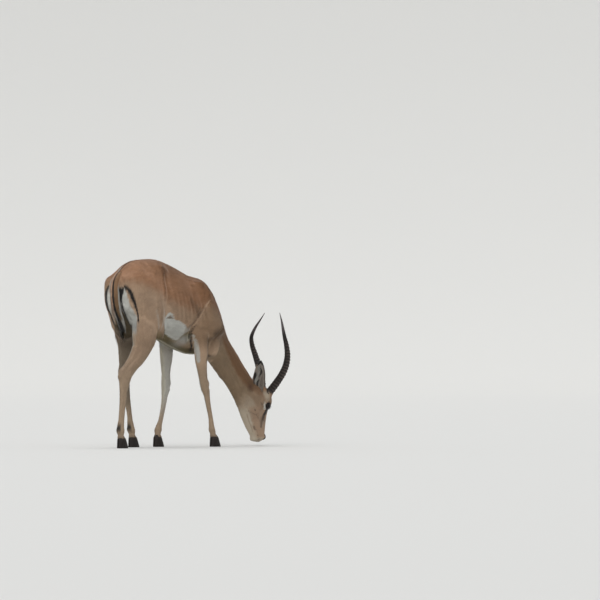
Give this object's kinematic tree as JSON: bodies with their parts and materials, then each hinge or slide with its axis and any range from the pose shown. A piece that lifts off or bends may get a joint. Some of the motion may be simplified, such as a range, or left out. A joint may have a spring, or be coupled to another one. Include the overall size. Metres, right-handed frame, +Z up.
{
  "type": "impala antelope",
  "caption": "Grazing antelope ram with long lyre-shaped ringed horns, standing with its head lowered to the ground; a still life-size figure.",
  "frame": {"origin": "middle of the bounding box's footprint, on the floor under the animal", "axes": "+X forward from rump to shoulders, +Y to the animal's left, +Z up"},
  "size_m": [1.2022, 0.323, 0.9511],
  "materials": {
    "back": "short coat of rufous and fawn hair",
    "neck": "short brown hair",
    "face": "very short tan hair",
    "leg": "very short grey-tan hair",
    "horn": "ridged dark keratin, satin",
    "ear": "thin skin with pale hair inside",
    "eye": "wet, near black",
    "hoof": "dark keratin, satin",
    "tail": "dark hair with a pale fringe"
  },
  "bodies": {
    "root": {"ear_left": "ear", "ear_right": "ear", "eye_left": "eye", "eye_right": "eye", "foreleg_left_cannon": "leg", "foreleg_left_claw_inner": "hoof", "foreleg_left_claw_outer": "hoof", "foreleg_left_forearm": "leg", "foreleg_left_shoulder": "back", "foreleg_right_cannon": "leg", "foreleg_right_claw_inner": "hoof", "foreleg_right_claw_outer": "hoof", "foreleg_right_forearm": "leg", "foreleg_right_shoulder": "back", "head": "face", "hindleg_left_cannon": "leg", "hindleg_left_claw_inner": "hoof", "hindleg_left_claw_outer": "hoof", "hindleg_left_gaskin": "leg", "hindleg_left_thigh": "back", "hindleg_right_cannon": "leg", "hindleg_right_claw_inner": "hoof", "hindleg_right_claw_outer": "hoof", "hindleg_right_gaskin": "leg", "hindleg_right_thigh": "back", "horn_left": "horn", "horn_right": "horn", "neck": "neck", "tail": "tail", "torso": "back"}
  },
  "joints": []
}
